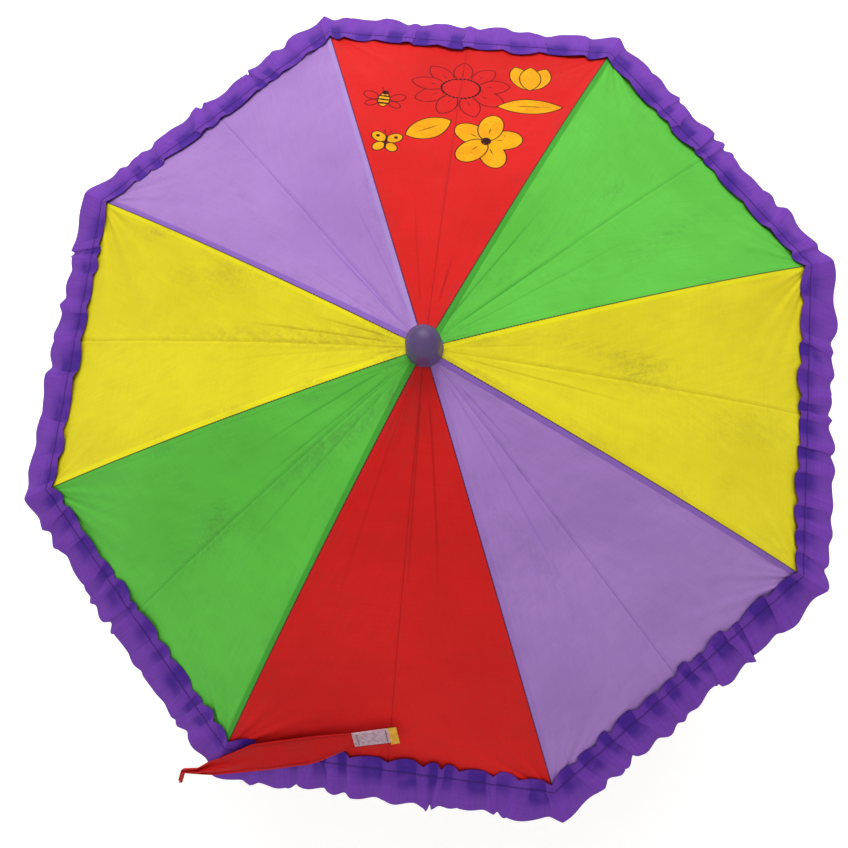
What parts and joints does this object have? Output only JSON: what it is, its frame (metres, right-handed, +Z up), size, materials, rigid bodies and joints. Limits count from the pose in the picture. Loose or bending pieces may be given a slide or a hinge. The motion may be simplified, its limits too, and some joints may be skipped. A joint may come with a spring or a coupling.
{
  "type": "children's stick umbrella",
  "caption": "Child-size stick umbrella with a domed canopy in alternating bright gores, a gathered purple ruffle, steel ribs and struts, a sliding runner and a hooked handle.",
  "frame": {"origin": "on the shaft's axis at the middle of the handle's straight grip", "axes": "+Z up along the shaft towards the ferrule, +X towards the handle's hook and over the first rib"},
  "size_m": [0.7534, 0.7534, 0.5264],
  "materials": {
    "bright_steel": "nickel-plated, satin",
    "spring_steel": "satin",
    "purple_plastic": "semi-gloss",
    "white_plastic": "semi-gloss",
    "green_fabric": "plain-weave polyester",
    "red_fabric": "plain-weave polyester",
    "lavender_fabric": "plain-weave polyester",
    "yellow_fabric": "plain-weave polyester",
    "purple_ruffle": "thin gathered polyester",
    "red_strap": "folded polyester",
    "grey_hook_and_loop": "looped pile"
  },
  "bodies": {
    "shaft": {"shaft_tube": "bright_steel", "crown_notch": "white_plastic", "crown_wire": "spring_steel", "ferrule_cap": "purple_plastic", "handle": "purple_plastic", "handle_collar": "bright_steel"},
    "rib_1": {"rib_1": "bright_steel", "rib_tip_1": "white_plastic", "green_gore_1_first_half": "green_fabric", "yellow_gore_8_second_half": "yellow_fabric", "ruffle_1": "purple_ruffle"},
    "rib_2": {"rib_2": "bright_steel", "rib_tip_2": "white_plastic", "red_gore_2_first_half": "red_fabric", "green_gore_1_second_half": "green_fabric", "ruffle_2": "purple_ruffle"},
    "rib_3": {"rib_3": "bright_steel", "rib_tip_3": "white_plastic", "lavender_gore_3_first_half": "lavender_fabric", "red_gore_2_second_half": "red_fabric", "ruffle_3": "purple_ruffle"},
    "rib_4": {"rib_4": "bright_steel", "rib_tip_4": "white_plastic", "yellow_gore_4_first_half": "yellow_fabric", "lavender_gore_3_second_half": "lavender_fabric", "ruffle_4": "purple_ruffle"},
    "rib_5": {"rib_5": "bright_steel", "rib_tip_5": "white_plastic", "green_gore_5_first_half": "green_fabric", "yellow_gore_4_second_half": "yellow_fabric", "ruffle_5": "purple_ruffle"},
    "rib_6": {"rib_6": "bright_steel", "rib_tip_6": "white_plastic", "red_gore_6_first_half": "red_fabric", "green_gore_5_second_half": "green_fabric", "ruffle_6": "purple_ruffle", "tie_strap": "red_strap", "strap_patch": "grey_hook_and_loop"},
    "rib_7": {"rib_7": "bright_steel", "rib_tip_7": "white_plastic", "lavender_gore_7_first_half": "lavender_fabric", "red_gore_6_second_half": "red_fabric", "ruffle_7": "purple_ruffle"},
    "rib_8": {"rib_8": "bright_steel", "rib_tip_8": "white_plastic", "yellow_gore_8_first_half": "yellow_fabric", "lavender_gore_7_second_half": "lavender_fabric", "ruffle_8": "purple_ruffle"},
    "strut_1": {"strut_1": "bright_steel"},
    "strut_2": {"strut_2": "bright_steel"},
    "strut_3": {"strut_3": "bright_steel"},
    "strut_4": {"strut_4": "bright_steel"},
    "strut_5": {"strut_5": "bright_steel"},
    "strut_6": {"strut_6": "bright_steel"},
    "strut_7": {"strut_7": "bright_steel"},
    "strut_8": {"strut_8": "bright_steel"},
    "runner": {"runner_sleeve": "white_plastic", "runner_wire": "spring_steel"},
    "open_catch": {"open_catch": "spring_steel"},
    "closed_catch": {"closed_catch": "spring_steel"}
  },
  "joints": [
    {"name": "canopy_fold", "type": "hinge", "parent": "shaft", "child": "rib_1", "pos_m": [0.007, 0, 0.422], "axis": [0, 1, 0], "range_deg": [0, 69], "deforming": ["green_gore_1_first_half", "yellow_gore_8_second_half", "ruffle_1"]},
    {"name": "rib_2_fold", "type": "hinge", "parent": "shaft", "child": "rib_2", "pos_m": [0.00495, 0.00495, 0.422], "axis": [-0.7071, 0.7071, 0], "range_deg": [0, 69], "deforming": ["red_gore_2_first_half", "green_gore_1_second_half", "ruffle_2"]},
    {"name": "rib_3_fold", "type": "hinge", "parent": "shaft", "child": "rib_3", "pos_m": [0, 0.007, 0.422], "axis": [-1, 0, 0], "range_deg": [0, 69], "deforming": ["lavender_gore_3_first_half", "red_gore_2_second_half", "ruffle_3"]},
    {"name": "rib_4_fold", "type": "hinge", "parent": "shaft", "child": "rib_4", "pos_m": [-0.00495, 0.00495, 0.422], "axis": [-0.7071, -0.7071, 0], "range_deg": [0, 69], "deforming": ["yellow_gore_4_first_half", "lavender_gore_3_second_half", "ruffle_4"]},
    {"name": "rib_5_fold", "type": "hinge", "parent": "shaft", "child": "rib_5", "pos_m": [-0.007, 0, 0.422], "axis": [0, -1, 0], "range_deg": [0, 69], "deforming": ["green_gore_5_first_half", "yellow_gore_4_second_half", "ruffle_5"]},
    {"name": "rib_6_fold", "type": "hinge", "parent": "shaft", "child": "rib_6", "pos_m": [-0.00495, -0.00495, 0.422], "axis": [0.7071, -0.7071, 0], "range_deg": [0, 69], "deforming": ["red_gore_6_first_half", "green_gore_5_second_half", "ruffle_6", "tie_strap", "strap_patch"]},
    {"name": "rib_7_fold", "type": "hinge", "parent": "shaft", "child": "rib_7", "pos_m": [0, -0.007, 0.422], "axis": [1, 0, 0], "range_deg": [0, 69], "deforming": ["lavender_gore_7_first_half", "red_gore_6_second_half", "ruffle_7"]},
    {"name": "rib_8_fold", "type": "hinge", "parent": "shaft", "child": "rib_8", "pos_m": [0.00495, -0.00495, 0.422], "axis": [0.7071, 0.7071, 0], "range_deg": [0, 69], "deforming": ["yellow_gore_8_first_half", "lavender_gore_7_second_half", "ruffle_8"]},
    {"name": "strut_1_pivot", "type": "hinge", "parent": "rib_1", "child": "strut_1", "pos_m": [0.16609, 0, 0.37886], "axis": [0, 1, 0], "range_deg": [-138, 0]},
    {"name": "strut_2_pivot", "type": "hinge", "parent": "rib_2", "child": "strut_2", "pos_m": [0.11745, 0.11745, 0.37886], "axis": [-0.7071, 0.7071, 0], "range_deg": [-138, 0]},
    {"name": "strut_3_pivot", "type": "hinge", "parent": "rib_3", "child": "strut_3", "pos_m": [0, 0.16609, 0.37886], "axis": [-1, 0, 0], "range_deg": [-138, 0]},
    {"name": "strut_4_pivot", "type": "hinge", "parent": "rib_4", "child": "strut_4", "pos_m": [-0.11745, 0.11745, 0.37886], "axis": [-0.7071, -0.7071, 0], "range_deg": [-138, 0]},
    {"name": "strut_5_pivot", "type": "hinge", "parent": "rib_5", "child": "strut_5", "pos_m": [-0.16609, 0, 0.37886], "axis": [0, -1, 0], "range_deg": [-138, 0]},
    {"name": "strut_6_pivot", "type": "hinge", "parent": "rib_6", "child": "strut_6", "pos_m": [-0.11745, -0.11745, 0.37886], "axis": [0.7071, -0.7071, 0], "range_deg": [-138, 0]},
    {"name": "strut_7_pivot", "type": "hinge", "parent": "rib_7", "child": "strut_7", "pos_m": [0, -0.16609, 0.37886], "axis": [1, 0, 0], "range_deg": [-138, 0]},
    {"name": "strut_8_pivot", "type": "hinge", "parent": "rib_8", "child": "strut_8", "pos_m": [0.11745, -0.11745, 0.37886], "axis": [0.7071, 0.7071, 0], "range_deg": [-138, 0]},
    {"name": "runner_wire_pivot", "type": "hinge", "parent": "strut_1", "child": "runner", "pos_m": [0.007, 0, 0.33571], "axis": [0, 1, 0], "range_deg": [0, 69]},
    {"name": "open_catch_press", "type": "hinge", "parent": "shaft", "child": "open_catch", "pos_m": [-0.00185, -0.00076, 0.26821], "axis": [-0.3827, 0.9239, 0], "range_deg": [-6, 0], "stiffness_Nm_per_rad": 0.05},
    {"name": "closed_catch_press", "type": "hinge", "parent": "shaft", "child": "closed_catch", "pos_m": [-0.00185, -0.00076, 0.09702], "axis": [-0.3827, 0.9239, 0], "range_deg": [0, 6], "stiffness_Nm_per_rad": 0.05}
  ],
  "couplings": [
    {"joint": "rib_2_fold", "follows": "canopy_fold", "ratio": 1},
    {"joint": "rib_3_fold", "follows": "canopy_fold", "ratio": 1},
    {"joint": "rib_4_fold", "follows": "canopy_fold", "ratio": 1},
    {"joint": "rib_5_fold", "follows": "canopy_fold", "ratio": 1},
    {"joint": "rib_6_fold", "follows": "canopy_fold", "ratio": 1},
    {"joint": "rib_7_fold", "follows": "canopy_fold", "ratio": 1},
    {"joint": "rib_8_fold", "follows": "canopy_fold", "ratio": 1},
    {"joint": "strut_1_pivot", "follows": "canopy_fold", "ratio": -2},
    {"joint": "strut_2_pivot", "follows": "canopy_fold", "ratio": -2},
    {"joint": "strut_3_pivot", "follows": "canopy_fold", "ratio": -2},
    {"joint": "strut_4_pivot", "follows": "canopy_fold", "ratio": -2},
    {"joint": "strut_5_pivot", "follows": "canopy_fold", "ratio": -2},
    {"joint": "strut_6_pivot", "follows": "canopy_fold", "ratio": -2},
    {"joint": "strut_7_pivot", "follows": "canopy_fold", "ratio": -2},
    {"joint": "strut_8_pivot", "follows": "canopy_fold", "ratio": -2},
    {"joint": "runner_wire_pivot", "follows": "canopy_fold", "ratio": 1}
  ]
}
